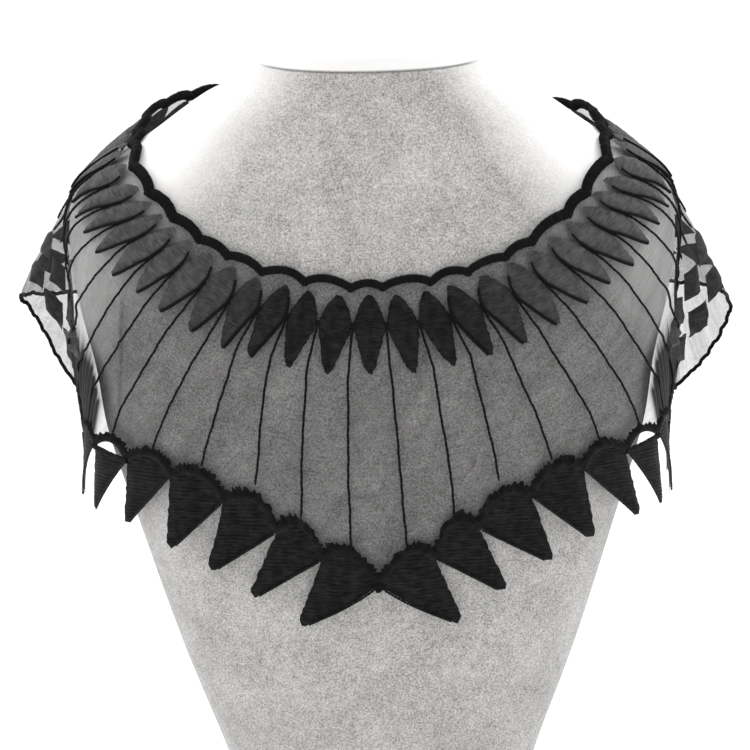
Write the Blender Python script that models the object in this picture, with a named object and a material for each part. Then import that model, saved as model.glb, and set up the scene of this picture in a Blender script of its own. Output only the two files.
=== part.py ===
"""Black organza lace collar resting on a limbless display bust.

The collar is one closed ring of sheer cloth. Its surface is worked out from a short
table of radial sections, counted in leaf pitches round the neck: pitch 0 is the front
centre and pitch 23 the back centre, and the other side is its mirror. Every trim is
made from points of that surface, moved out. Sizes are in millimetres, +Z up, and the
front faces -Y.
"""
import math

import bmesh
import bpy
from mathutils import Vector

MM = 0.001

# Cloth, trims and the room between them
WALL = 1.0
BUST_ROOM = 1.3
TRIM_ROOM = 0.8
TRIM_THICK = 1.1
SEAM_GAP = 0.3

# Pitches round the ring, and mesh columns in each
FRONT_STEPS = 4
BACK_STEPS = 2
HALF_RING = 23
RING = 2 * HALF_RING
FRONT_END = 9
SEAM_PITCH = 0.012

# Neck edge and its cord. The scallops rise in proportion to their breadth in pitches
NECK_SCALLOP = 2.3
NECK_CORD = 2.8
EDGE_CORD = 2.0
EDGE_CORD_STEPS = 70

# Cusps of the neck edge from wing to wing, in pitches, and the number of scallops round the back
NECK_CUSPS = (-10.8, -9.4, -8.1, -6.9, -5.75, -4.85, -3.75, -2.3, -0.7,
              0.3, 1.9, 3.25, 4.45, 5.3, 6.7, 7.7, 9.3, 10.8)
BACK_SCALLOPS = 18

# Front hem: arches of satin over hanging pennants
ARCH_RISE = 10.2
ARCH_RISE_SIDE = 7.0
ARCH_BAND = 4.4
PENNANT_ROOM = 1.5
PENNANT_TIP = 4.0
PENNANT_THICK = 1.2
PENNANT_BASE = 26.0
PENNANT_MARGIN = 0.035

# Pennants from the front centre outward: length, and where along its base the tip hangs
PENNANTS = (
    (31.5, 0.65),
    (31.5, 0.62),
    (31, 0.60),
    (31, 0.56),
    (29, 0.68),
    (29, 0.72),
    (28, 0.70),
    (28, 0.66),
    (27, 0.62),
)

# Bust: a row for each level
# height, half width, front depth, back depth
BUST_LEVELS = (
    (0, 57, 38, 34),
    (6, 59, 40, 36),
    (47, 72, 47, 38),
    (98, 91, 58, 42),
    (154, 109, 67, 47),
    (200, 123, 71, 51),
    (231, 128, 71, 54),
    (257, 134, 69, 56),
    (276, 137, 66, 57),
    (292, 138, 63, 57),
    (304, 136, 60, 57),
    (314, 131, 57, 56),
    (322, 122, 55, 55),
    (330, 109, 53, 54),
    (338, 97, 51, 53),
    (346, 86, 50, 51),
    (354, 74, 48, 49),
    (361, 60, 47, 47),
    (374, 54, 46, 46),
)
BUST_ROUNDNESS = 2.3
BUST_SIDES = 40
BUST_RINGS = 22
# Rings crowd towards the neck by this power
BUST_RING_SPREAD = 1.45

# Collar: a row for each radial section
# pitch, neck edge, upper third, lower third, hem
SECTIONS = (
    (0, (0, -68, 271), (0, -71, 226), (0, -71, 182), (0, -68, 140)),
    (1, (14, -68, 271), (17, -71, 229), (22, -71, 189), (25, -68, 152)),
    (2, (27, -67, 273), (34, -70, 235), (41, -70, 198), (44.5, -66, 165)),
    (3, (39, -66, 276), (50, -68, 242), (60, -66, 209), (68, -62, 178)),
    (4, (53, -64, 280), (69, -64, 249), (82, -59, 217), (91.5, -53, 188)),
    (6, (80, -54, 295), (105, -46, 271), (119, -37, 229), (127, -20, 197)),
    (8, (97, -40, 311), (128, -23, 294), (136, -4, 246), (135, 19, 202)),
    (9, (102, -31, 317), (132, -16, 300), (137, 4, 248), (138, 34, 209)),
    (10, (105, -21, 323), (133, -9, 305), (139, 12, 254), (148, 38, 221)),
    (12, (107, 2, 334), (132, 5, 313), (146, 17, 273), (162, 37, 245)),
    (13, (105, 13, 338), (129, 17, 317), (149, 27, 283), (165, 38, 251)),
    (14, (101, 23, 342), (123, 29, 320), (145, 40, 290), (162, 50, 254)),
    (16, (86, 40, 346), (103, 50, 323), (122, 60, 290), (138, 67, 254)),
    (18, (64, 51, 348), (75, 61, 322), (88, 69, 289), (102, 74, 252)),
    (20, (39, 57, 349), (46, 67, 322), (54, 72, 288), (62, 76, 251)),
    (23, (0, 60, 350), (0, 69, 322), (0, 74, 288), (0, 78, 250)),
)
RAIL_SHARE = (0.0, 0.35, 0.70, 1.0)

# The right wing hangs lower and further out than the left one
# share of the sway on each rail: neck edge, upper third, lower third, hem
SWAY_SHARE = (0.0, 0.1, 0.5, 1.0)
WING_SWAY = Vector((1.5, 0.0, -8.0))
WING_PITCH = 11.5
WING_SPREAD = 2.2

# Leaves are closer together on the shoulders and fan out at the front
# leaf number from the front centre, its pitch at the neck edge, its pitch at the leaf tips
LEAF_PLACES = (
    (0, 0.0, 0.0),
    (1, 0.87, 1.17),
    (2, 1.85, 2.17),
    (3, 2.70, 3.12),
    (4, 3.70, 3.85),
    (5, 4.50, 4.55),
    (6, 5.12, 5.22),
    (7, 5.78, 5.85),
    (8, 6.45, 6.50),
    (9, 7.10, 7.12),
    (10, 7.72, 7.70),
    (11, 8.40, 8.35),
    (12, 9.35, 9.20),
    (13, 10.3, 10.3),
    (26, 23, 23),
)
HALF_LEAVES = LEAF_PLACES[-1][0]
LEAVES = 2 * HALF_LEAVES
# The front leaves sit this far to the left of the middle, in pitches
LEAF_SHIFT = 0.15
LEAF_SHIFT_SPREAD = 4.0
TIP_SHARE = 0.31
HEM_SHARE = 0.9

# Leaf: a row for each level down its length
# share of the radial length, half width in leaf numbers
LEAF_REACH = 118.0
LEAF_LEVELS = (
    (0.030, 0.10),
    (0.065, 0.34),
    (0.105, 0.5),
    (0.150, 0.5),
    (0.210, 0.34),
    (0.310, 0.09),
)

# Rhombus border of the back, in shares of the radial length
RHOMBUS_LEVELS = (0.62, 0.735, 0.85)
FIRST_RHOMBUS = 11
# lean of their ends and breadth of their joined corners, in leaf numbers
RHOMBUS_LEAN = 0.22
RHOMBUS_JOIN = 0.09


def spline(rows, x):
    """Smooth curve through rows of (place, value), with value a number or a vector."""
    last = len(rows) - 1
    i = 0
    while i < last - 1 and x > rows[i + 1][0]:
        i += 1

    def slope(j):
        before = rows[max(j - 1, 0)]
        after = rows[min(j + 1, last)]
        return (after[1] - before[1]) * (1.0 / (after[0] - before[0]))

    x0, p0 = rows[i]
    x1, p1 = rows[i + 1]
    step = x1 - x0
    t = (x - x0) / step
    m0 = slope(i) * step
    m1 = slope(i + 1) * step
    a = 2 * t ** 3 - 3 * t ** 2 + 1
    b = t ** 3 - 2 * t ** 2 + t
    c = -2 * t ** 3 + 3 * t ** 2
    d = t ** 3 - t ** 2
    return p0 * a + m0 * b + p1 * c + m1 * d


BUST_WIDTH = [(row[0], row[1]) for row in BUST_LEVELS]
BUST_FRONT = [(row[0], row[2]) for row in BUST_LEVELS]
BUST_BACK = [(row[0], row[3]) for row in BUST_LEVELS]
BUST_TOP = BUST_LEVELS[-1][0]


def bust_excess(point):
    """Share by which a point lies outside the bust at its own height."""
    z = min(max(point.z, 0.0), BUST_TOP)
    width = spline(BUST_WIDTH, z)
    depth = spline(BUST_FRONT if point.y < 0 else BUST_BACK, z)
    across = (abs(point.x) / width) ** BUST_ROUNDNESS
    along = (abs(point.y) / depth) ** BUST_ROUNDNESS
    return (across + along) ** (1.0 / BUST_ROUNDNESS) - 1.0


def clear_of_bust(point, room):
    """Moves a point straight out from the bust until it has the room."""
    probe = 0.5
    axes = (Vector((probe, 0, 0)), Vector((0, probe, 0)), Vector((0, 0, probe)))
    place = point.copy()
    for _ in range(6):
        excess = bust_excess(place)
        slope = Vector([(bust_excess(place + a) - bust_excess(place - a)) / (2 * probe) for a in axes])
        steepness = max(slope.length, 1e-6)
        distance = excess / steepness
        if distance >= room:
            break
        place += slope / steepness * (room - distance)
    return place


def mirrored_rails():
    """The four rails of the table, carried past both ends by mirroring."""
    rails = []
    for rail in range(1, 5):
        rows = [(row[0], Vector(row[rail])) for row in SECTIONS]
        flip = [Vector((-p.x, p.y, p.z)) for _, p in rows]
        before = [(-rows[i][0], flip[i]) for i in (3, 2, 1)]
        after = [(RING - rows[i][0], flip[i]) for i in (-2, -3)]
        rails.append(before + rows + after)
    return rails


RAILS = mirrored_rails()
COLUMN_STEPS = 24
columns = {}


def wing_sway(turn):
    """How far a wing hangs away from the mirrored form."""
    side = -1 if turn < 0 else 1
    return WING_SWAY * side * math.exp(-((abs(turn) - WING_PITCH) / WING_SPREAD) ** 2)


def column(pitch):
    """Points down one radial section, with the length run so far at each."""
    key = round(pitch, 5)
    if key not in columns:
        turn = (key + HALF_RING) % RING - HALF_RING
        side = -1 if turn < 0 else 1
        knots = []
        for share, sway, rail in zip(RAIL_SHARE, SWAY_SHARE, RAILS):
            knots.append((share, spline(rail, abs(turn)) + wing_sway(turn) * sway))
        points = []
        for step in range(COLUMN_STEPS + 1):
            place = clear_of_bust(spline(knots, step / COLUMN_STEPS), BUST_ROOM)
            points.append(Vector((place.x * side, place.y, place.z)))
        run = [0.0]
        for a, b in zip(points, points[1:]):
            run.append(run[-1] + (b - a).length)
        columns[key] = (points, run)
    return columns[key]


def ground(pitch, down):
    """Point of the collar's inner surface, down mm below the neck edge."""
    points, run = column(pitch)
    i = 0
    while i < COLUMN_STEPS - 1 and down > run[i + 1]:
        i += 1
    t = (down - run[i]) / (run[i + 1] - run[i])
    place = points[i].lerp(points[i + 1], t) if 0 <= t <= 1 else points[i] + (points[i + 1] - points[i]) * t
    return clear_of_bust(place, BUST_ROOM) if down > run[-1] else place


def length(pitch):
    return column(pitch)[1][-1]


def outward(pitch, down):
    """Unit normal of the collar, away from the bust."""
    turn = 0.12
    drop = 2.0
    across = ground(pitch + turn, down) - ground(pitch - turn, down)
    along = ground(pitch, down + drop) - ground(pitch, down - drop)
    return along.cross(across).normalized()


def lifted(pitch, down, room):
    return ground(pitch, down) + outward(pitch, down) * room


def arch_height(pitch):
    """Height of the hem's arches: 0 at each whole pitch, and lower at the sides."""
    share = min(max((abs(pitch) - 1.5) / 2.0, 0.0), 1.0)
    rise = ARCH_RISE + (ARCH_RISE_SIDE - ARCH_RISE) * share
    return rise * math.sin(math.pi * (pitch - math.floor(pitch))) ** 0.8


def all_neck_cusps():
    """Cusps once round the ring, the front's from the table and the back's evenly spaced."""
    first = NECK_CUSPS[-1]
    span = RING + NECK_CUSPS[0] - first
    return list(NECK_CUSPS) + [first + span * i / BACK_SCALLOPS for i in range(1, BACK_SCALLOPS + 1)]


CUSPS = all_neck_cusps()


def neck_scallop(pitch):
    """Height of the neck edge's scallops over the line of their cusps."""
    turn = (pitch - CUSPS[0]) % RING + CUSPS[0]
    for before, after in zip(CUSPS, CUSPS[1:]):
        if turn <= after:
            break
    share = (turn - before) / (after - before)
    return NECK_SCALLOP * (after - before) * max(math.sin(math.pi * share), 0.0) ** 0.7


def neck_turns(start, end, per_pitch):
    """Even steps between two pitches, and the neck edge's cusps between them."""
    even = steps(start, end, round((end - start) * per_pitch))
    cusps = [cusp + lap for cusp in CUSPS[:-1] for lap in (-RING, 0, RING) if start < cusp + lap < end]
    near = 0.3 / per_pitch
    kept = [turn for turn in even[1:-1] if all(abs(turn - cusp) > near for cusp in cusps)]
    return sorted([even[0], even[-1]] + kept + cusps)


def leaf_pitch(number, share):
    """Pitch of a leaf, or of a place between two, at a share of the radial length."""
    turn = (number + HALF_LEAVES) % LEAVES - HALF_LEAVES
    side = -1 if turn < 0 else 1
    place = abs(turn)
    i = 0
    while i < len(LEAF_PLACES) - 2 and place > LEAF_PLACES[i + 1][0]:
        i += 1
    near, far = LEAF_PLACES[i], LEAF_PLACES[i + 1]
    t = (place - near[0]) / (far[0] - near[0])
    neck = near[1] + (far[1] - near[1]) * t
    tip = near[2] + (far[2] - near[2]) * t
    hem = place
    if place > FRONT_END:
        hem = FRONT_END + (place - FRONT_END) * (HALF_RING - FRONT_END) / (HALF_LEAVES - FRONT_END)
    rise = min(share / TIP_SHARE, 1.0)
    fall = min(max((share - 0.2) / (HEM_SHARE - 0.2), 0.0), 1.0)
    fall = fall * fall * (3 - 2 * fall)
    pitch = neck + (tip - neck) * rise
    pitch += (hem - pitch) * fall
    return side * pitch - LEAF_SHIFT * (1 - fall) * math.exp(-(turn / LEAF_SHIFT_SPREAD) ** 2)


def material(name, colour, roughness):
    finish = bpy.data.materials.new(name)
    finish.use_nodes = True
    shader = finish.node_tree.nodes["Principled BSDF"]
    shader.inputs["Base Color"].default_value = (*colour, 1.0)
    shader.inputs["Roughness"].default_value = roughness
    shader.inputs["Metallic"].default_value = 0.0
    return finish


def add_object(name, points, faces, finish):
    """Makes a named object in metres, with its faces pointing out."""
    mesh = bpy.data.meshes.new(name)
    mesh.from_pydata([p * MM for p in points], [], faces)
    work = bmesh.new()
    work.from_mesh(mesh)
    bmesh.ops.recalc_face_normals(work, faces=work.faces)
    bmesh.ops.triangulate(work, faces=[f for f in work.faces if len(f.verts) > 3])
    work.to_mesh(mesh)
    work.free()
    mesh.shade_smooth()
    mesh.set_sharp_from_angle(angle=math.radians(40))
    mesh.materials.append(finish)
    thing = bpy.data.objects.new(name, mesh)
    bpy.context.scene.collection.objects.link(thing)
    return thing


def plate(name, faces, place, low, high, finish):
    """Solid sheet over faces of keys. place(key, room) gives a point at that room."""
    keys = sorted({key for face in faces for key in face})
    index = {key: i for i, key in enumerate(keys)}
    count = len(keys)
    points = [place(key, low) for key in keys] + [place(key, high) for key in keys]
    solid = [[index[key] for key in reversed(face)] for face in faces]
    solid += [[index[key] + count for key in face] for face in faces]
    edges = {}
    for face in faces:
        for a, b in zip(face, face[1:] + face[:1]):
            edges[(a, b)] = True
    for a, b in edges:
        if (b, a) not in edges:
            solid.append([index[a], index[b], index[b] + count, index[a] + count])
    return add_object(name, points, solid, finish)


def tube(name, centres, closed, finish):
    """Cord of square section. Each centre has its place and its two half axes."""
    points = []
    for place, out, side in centres:
        points += [place + out + side, place - out + side, place - out - side, place + out - side]
    faces = []
    last = len(centres) if closed else len(centres) - 1
    for i in range(last):
        a = 4 * i
        b = 4 * ((i + 1) % len(centres))
        for corner in range(4):
            after = (corner + 1) % 4
            faces.append([a + corner, a + after, b + after, b + corner])
    if not closed:
        end = 4 * (len(centres) - 1)
        faces.append([0, 1, 2, 3])
        faces.append([end + 3, end + 2, end + 1, end])
    return add_object(name, points, faces, finish)


def steps(start, end, count):
    return [start + (end - start) * i / count for i in range(count + 1)]


def display_bust(finish):
    """Smooth closed form with a flat underside."""
    points = []
    faces = []
    for ring in range(BUST_RINGS + 1):
        share = ring / BUST_RINGS
        z = BUST_TOP * (1 - (1 - share) ** BUST_RING_SPREAD)
        width = spline(BUST_WIDTH, z)
        for side in range(BUST_SIDES):
            angle = 2 * math.pi * side / BUST_SIDES
            depth = spline(BUST_FRONT if math.sin(angle) < 0 else BUST_BACK, z)
            x = math.copysign(abs(math.cos(angle)) ** (2 / BUST_ROUNDNESS), math.cos(angle)) * width
            y = math.copysign(abs(math.sin(angle)) ** (2 / BUST_ROUNDNESS), math.sin(angle)) * depth
            points.append(Vector((x, y, z)))
    for ring in range(BUST_RINGS):
        for side in range(BUST_SIDES):
            after = (side + 1) % BUST_SIDES
            a = ring * BUST_SIDES
            b = a + BUST_SIDES
            faces.append([a + side, a + after, b + after, b + side])
    faces.append(list(reversed(range(BUST_SIDES))))
    top = BUST_RINGS * BUST_SIDES
    faces.append([top + side for side in range(BUST_SIDES)])
    return add_object("display_bust", points, faces, finish)


def organza(name, start, end, per_pitch, scalloped_hem, finish):
    """Ground wall of sheer cloth between two pitches."""
    rows = 10
    turns = neck_turns(start, end, per_pitch)

    def place(key, room):
        turn, row = key
        top = -neck_scallop(turn)
        bottom = length(turn)
        if scalloped_hem:
            bottom -= arch_height(turn)
        down = top + (bottom - top) * row / rows
        return lifted(turn, down, room)

    faces = []
    for a, b in zip(turns, turns[1:]):
        for row in range(rows):
            faces.append([(a, row), (a, row + 1), (b, row + 1), (b, row)])
    return plate(name, faces, place, 0.0, WALL, finish)


def neck_cord(finish):
    """Scalloped cord round the whole neck edge."""
    centres = []
    front = neck_turns(-FRONT_END + SEAM_PITCH, FRONT_END - SEAM_PITCH, FRONT_STEPS)
    back = neck_turns(FRONT_END + SEAM_PITCH, RING - FRONT_END - SEAM_PITCH, BACK_STEPS)
    for turn in front + back:
        down = -neck_scallop(turn) - SEAM_GAP - NECK_CORD / 2
        out = outward(turn, 1.0)
        down_cloth = (ground(turn, 3.0) - ground(turn, 0.0)).normalized()
        place = ground(turn, 0.0) + down_cloth * down + out * (WALL / 2)
        centres.append((place, out * (NECK_CORD / 2), down_cloth * (NECK_CORD / 2)))
    return tube("neck_cord", centres, True, finish)


def edge_cord(finish):
    """Fine cord along the plain hem of the wings and back."""
    centres = []
    for turn in steps(FRONT_END + 0.04, RING - FRONT_END - 0.04, EDGE_CORD_STEPS):
        reach = length(turn)
        out = outward(turn, reach - 2.0)
        down_cloth = (ground(turn, reach) - ground(turn, reach - 3.0)).normalized()
        place = ground(turn, reach) + down_cloth * (SEAM_GAP + EDGE_CORD / 2) + out * (WALL / 2)
        centres.append((place, out * (EDGE_CORD / 2), down_cloth * (EDGE_CORD / 2)))
    return tube("edge_cord", centres, False, finish)


def leaf_band(finish):
    """Ring of satin leaves, each joined to the next where it is widest."""
    faces = []

    def key(leaf, level, side):
        return (round((leaf + side * LEAF_LEVELS[level][1]) % LEAVES, 3), level)

    for leaf in range(LEAVES):
        for level in range(len(LEAF_LEVELS) - 1):
            faces.append([key(leaf, level, -1), key(leaf, level + 1, -1),
                          key(leaf, level + 1, 1), key(leaf, level, 1)])

    def place(key, room):
        number, level = key
        share = LEAF_LEVELS[level][0]
        return lifted(leaf_pitch(number, share), share * LEAF_REACH, room)

    low = WALL + TRIM_ROOM
    return plate("leaf_band", faces, place, low, low + TRIM_THICK, finish)


def rhombus_border(finish):
    """Two rows of slanted rhombi, each joined to its neighbours at the corners."""
    inner, middle, outer = RHOMBUS_LEVELS
    lean = RHOMBUS_LEAN
    join = RHOMBUS_JOIN
    faces = []
    last = LEAVES - FIRST_RHOMBUS
    for i in range(FIRST_RHOMBUS, last + 1):
        upper = [(i - 0.5 + lean, inner), (i - 0.5, middle), (i - 0.5 + join, middle), (i, middle),
                 (i + join, middle), (i + lean, inner)]
        lower = [(i, middle), (i - lean, outer), (i + 0.5 - lean, outer), (i + 0.5 + join, middle),
                 (i + 0.5, middle), (i + join, middle)]
        faces.append([(round(number, 3), level) for number, level in upper])
        if i < last:
            faces.append([(round(number, 3), level) for number, level in lower])

    def place(key, room):
        number, level = key
        pitch = leaf_pitch(number, level)
        return lifted(pitch, level * length(pitch), room)

    low = WALL + TRIM_ROOM
    return plate("rhombus_border", faces, place, low, low + TRIM_THICK, finish)


def hem_arches(finish):
    """Satin band that arches from cusp to cusp along the front hem."""
    turns = steps(-FRONT_END, FRONT_END, 2 * FRONT_END * 8)

    def place(key, room):
        turn, side = key
        rise = arch_height(turn) + (0.5 - side) * ARCH_BAND
        return lifted(turn, length(turn) - rise, room)

    faces = []
    for a, b in zip(turns, turns[1:]):
        faces.append([(a, 0), (a, 1), (b, 1), (b, 0)])
    low = WALL + TRIM_ROOM
    return plate("hem_arches", faces, place, low, low + TRIM_THICK, finish)


def pennant(side, number, finish):
    """Rounded triangle that hangs under one arch and leans outward."""
    inner = number - 1
    reach, lean = PENNANTS[inner]
    rows = 6
    columns = 6
    margin = PENNANT_MARGIN
    tip_half = PENNANT_TIP / 2 / PENNANT_BASE
    ends = [ground(side * (inner + t), length(side * (inner + t))) for t in (margin, 1 - margin)]
    middle = side * (inner + 0.5)
    face_out = outward(middle, length(middle) - 3.0)
    fall = (ends[1] - ends[0]).cross(face_out).normalized() * side

    def place(key, room):
        row, col = key
        share = row / rows
        across = col / columns
        start = margin + (1 - 2 * margin) * across
        end = lean + tip_half * (2 * across - 1)
        along = start + (end - start) * share
        top = ARCH_BAND / 2 + PENNANT_ROOM - arch_height(inner + start)
        tip = reach - PENNANT_TIP / 2 * (2 * across - 1) ** 2
        drop = top + (tip - top) * share
        pitch = side * (inner + along)
        spot = ground(pitch, length(pitch) + min(drop, 0.0)) + fall * max(drop, 0.0)
        return clear_of_bust(spot, BUST_ROOM) + outward(pitch, length(pitch) - 3.0) * room

    faces = []
    for row in range(rows):
        for col in range(columns):
            face = [(row, col), (row + 1, col), (row + 1, col + 1), (row, col + 1)]
            faces.append(face if side > 0 else face[::-1])
    low = WALL + TRIM_ROOM
    name = "pennant_%s_%d" % ("right" if side > 0 else "left", number)
    return plate(name, faces, place, low, low + PENNANT_THICK, finish)


def centre_on_origin(things):
    """Puts the middle of the whole part's box over the origin. The base is at z = 0."""
    for axis in (0, 1):
        places = [vertex.co[axis] for thing in things for vertex in thing.data.vertices]
        middle = (min(places) + max(places)) / 2
        for thing in things:
            thing.location[axis] = -middle


def build():
    for thing in list(bpy.data.objects):
        bpy.data.objects.remove(thing, do_unlink=True)
    velvet = material("display velvet", (0.78, 0.78, 0.75), 0.95)
    sheer = material("black organza", (0.10, 0.10, 0.105), 0.55)
    satin = material("black embroidery", (0.022, 0.022, 0.024), 0.42)
    cord = material("black cord", (0.03, 0.03, 0.032), 0.6)
    things = [
        display_bust(velvet),
        organza("organza_front", -FRONT_END + SEAM_PITCH, FRONT_END - SEAM_PITCH, FRONT_STEPS, True, sheer),
        organza("organza_back", FRONT_END + SEAM_PITCH, RING - FRONT_END - SEAM_PITCH, BACK_STEPS, False, sheer),
        neck_cord(cord),
        edge_cord(cord),
        leaf_band(satin),
        rhombus_border(satin),
        hem_arches(satin),
    ]
    for number in range(1, FRONT_END + 1):
        for side in (-1, 1):
            things.append(pennant(side, number, satin))
    centre_on_origin(things)


build()
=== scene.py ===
"""Looks of a sheer black organza collar laid over a velvet display bust.

The collar's surface is the one of its solids: radial sections counted in leaf pitches
round the neck, with pitch 0 at the front centre and 23 at the back centre. Every leaf,
arch, rhombus and pennant is stitched in rows of thread on that surface. Sizes are in
millimetres until a mesh is made.
"""

import math

import bpy
import numpy as np
from mathutils import Matrix, Vector


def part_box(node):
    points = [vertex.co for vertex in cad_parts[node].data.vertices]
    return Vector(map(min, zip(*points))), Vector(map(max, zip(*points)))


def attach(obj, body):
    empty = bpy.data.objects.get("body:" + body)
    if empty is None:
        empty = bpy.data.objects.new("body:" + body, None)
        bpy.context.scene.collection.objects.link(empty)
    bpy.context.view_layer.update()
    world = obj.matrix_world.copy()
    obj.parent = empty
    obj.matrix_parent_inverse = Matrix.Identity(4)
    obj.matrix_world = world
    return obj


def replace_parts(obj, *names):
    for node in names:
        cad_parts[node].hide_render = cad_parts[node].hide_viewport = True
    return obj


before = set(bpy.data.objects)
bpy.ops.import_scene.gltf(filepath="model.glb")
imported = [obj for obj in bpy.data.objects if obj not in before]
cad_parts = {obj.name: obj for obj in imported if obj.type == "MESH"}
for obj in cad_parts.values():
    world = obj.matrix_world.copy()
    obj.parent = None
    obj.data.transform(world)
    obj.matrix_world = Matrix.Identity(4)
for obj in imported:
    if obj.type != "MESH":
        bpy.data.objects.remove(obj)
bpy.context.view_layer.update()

MM = 0.001

# Pitches round the ring
HALF_RING = 23
RING = 2 * HALF_RING
FRONT_END = 9

# Heights over the collar's inner surface
CLOTH_ROOM = 0.8
TRIM_LOW = 1.1
TRIM_CROWN = 1.5
BUST_ROOM = 1.3

# Neck edge and its cord. The scallops rise in proportion to their breadth in pitches
NECK_SCALLOP = 2.3
NECK_CORD = 4.2
EDGE_CORD = 1.9
SEAM_GAP = 0.3

# Front hem
ARCH_RISE = 10.2
ARCH_RISE_SIDE = 7.0
ARCH_BAND = 4.4
PENNANT_MARGIN = 0.012
PENNANT_TIP = 5.0

# Cusps of the neck edge from wing to wing, in pitches, and the number of scallops round the back
NECK_CUSPS = (-10.8, -9.4, -8.1, -6.9, -5.75, -4.85, -3.75, -2.3, -0.7,
              0.3, 1.9, 3.25, 4.45, 5.3, 6.7, 7.7, 9.3, 10.8)
BACK_SCALLOPS = 18

# Pennants from the front centre outward, right then left: length, and where along its base the tip hangs
PENNANTS = {
    1: ((31.5, 0.83), (31.5, 0.70), (32, 0.75), (32, 0.68), (34, 1.10),
        (37, 1.15), (40, 1.7), (37, 1.6), (31, 1.0)),
    -1: ((31.5, 0.81), (32.5, 0.70), (32, 0.66), (31.5, 0.58), (31, 0.88),
         (33.5, 1.05), (36, 1.5), (35, 1.8), (30, 1.0)),
}
# Number of the pennant on each side that hangs level below an arch left open
OPEN_ARCH = 6

# Bust: height, half width, front depth, back depth
BUST_LEVELS = (
    (0, 57, 38, 34),
    (6, 59, 40, 36),
    (47, 72, 47, 38),
    (98, 91, 58, 42),
    (154, 109, 67, 47),
    (200, 123, 71, 51),
    (231, 128, 71, 54),
    (257, 134, 69, 56),
    (276, 137, 66, 57),
    (292, 138, 63, 57),
    (304, 136, 60, 57),
    (314, 131, 57, 56),
    (322, 122, 55, 55),
    (330, 109, 53, 54),
    (338, 97, 51, 53),
    (346, 86, 50, 51),
    (354, 74, 48, 49),
    (361, 60, 47, 47),
    (374, 54, 46, 46),
)
BUST_ROUNDNESS = 2.3
BUST_TOP = BUST_LEVELS[-1][0]

# Collar: pitch, neck edge, upper third, lower third, hem
SECTIONS = (
    (0, (0, -68, 271), (0, -71, 226), (0, -71, 182), (0, -68, 140)),
    (1, (14, -68, 271), (17, -71, 229), (22, -71, 189), (25, -68, 152)),
    (2, (27, -67, 273), (34, -70, 235), (41, -70, 198), (44.5, -66, 165)),
    (3, (39, -66, 276), (50, -68, 242), (60, -66, 209), (68, -62, 178)),
    (4, (53, -64, 280), (69, -64, 249), (82, -59, 217), (91.5, -53, 188)),
    (6, (80, -54, 295), (105, -46, 271), (119, -37, 229), (127, -20, 197)),
    (8, (97, -40, 311), (128, -23, 294), (136, -4, 246), (135, 19, 202)),
    (9, (102, -31, 317), (132, -16, 300), (137, 4, 248), (138, 34, 209)),
    (10, (105, -21, 323), (133, -9, 305), (139, 12, 254), (148, 38, 221)),
    (12, (107, 2, 334), (132, 5, 313), (146, 17, 273), (162, 37, 245)),
    (13, (105, 13, 338), (129, 17, 317), (149, 27, 283), (165, 38, 251)),
    (14, (101, 23, 342), (123, 29, 320), (145, 40, 290), (162, 50, 254)),
    (16, (86, 40, 346), (103, 50, 323), (122, 60, 290), (138, 67, 254)),
    (18, (64, 51, 348), (75, 61, 322), (88, 69, 289), (102, 74, 252)),
    (20, (39, 57, 349), (46, 67, 322), (54, 72, 288), (62, 76, 251)),
    (23, (0, 60, 350), (0, 69, 322), (0, 74, 288), (0, 78, 250)),
)
RAIL_SHARE = (0.0, 0.35, 0.70, 1.0)
SWAY_SHARE = (0.0, 0.1, 0.5, 1.0)
WING_SWAY = Vector((1.5, 0.0, -8.0))
WING_PITCH = 11.5
WING_SPREAD = 2.2

# The neck edge sinks behind the right shoulder
BACK_SINK = Vector((0.0, 1.5, -7.0))
SINK_PITCH = 16.5
SINK_SPREAD = 2.6

# Leaf number from the front centre, its pitch at the neck edge, its pitch at the leaf's tip
LEAF_PLACES = (
    (-26, -23.0, -23.0),
    (-13, -10.3, -10.3),
    (-12, -9.45, -9.30),
    (-11, -8.40, -8.35),
    (-10, -7.65, -7.75),
    (-9, -7.10, -7.15),
    (-8, -6.50, -6.50),
    (-7, -5.90, -5.85),
    (-6, -5.20, -5.25),
    (-5, -4.50, -4.55),
    (-4, -3.80, -3.85),
    (-3, -2.85, -3.30),
    (-2, -2.05, -2.30),
    (-1, -1.05, -1.30),
    (0, -0.10, -0.15),
    (1, 0.70, 1.05),
    (2, 1.65, 2.05),
    (3, 2.50, 3.05),
    (4, 3.65, 3.80),
    (5, 4.45, 4.55),
    (6, 5.05, 5.25),
    (7, 5.70, 5.85),
    (8, 6.40, 6.50),
    (9, 7.10, 7.10),
    (10, 7.75, 7.65),
    (11, 8.40, 8.35),
    (12, 9.35, 9.15),
    (13, 10.3, 10.3),
    (26, 23.0, 23.0),
)
HALF_LEAVES = LEAF_PLACES[-1][0]
LEAVES = 2 * HALF_LEAVES
# Shares of the radial length: at the leaf tips, and where the lines between the leaves
# begin and end their turn to even spacing
TIP_SHARE = 0.31
TURN_SHARE = 0.2
HEM_SHARE = 0.9

# Leaf outline: mm below the neck edge, half width in leaf numbers
LEAF_OUTLINE = (
    (1.8, 0.12),
    (3.0, 0.19),
    (4.6, 0.27),
    (8.0, 0.38),
    (12.8, 0.47),
    (16.5, 0.455),
    (23.0, 0.32),
    (29.0, 0.21),
    (33.0, 0.13),
    (35.2, 0.06),
)

# Rhombus border: first pitch and share of the radial length of its inner and outer rows
RHOMBUS_ROWS = ((8.15, 0.71), (9.35, 0.845))
RHOMBUS_PERIOD = 1.65
RHOMBUS_START = 0.62
# Corners of a rhombus round its middle: pitches, share of the radial length
RHOMBUS = ((-0.325, -0.068), (0.80, -0.010), (-0.80, 0.010), (0.325, 0.068))

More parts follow.
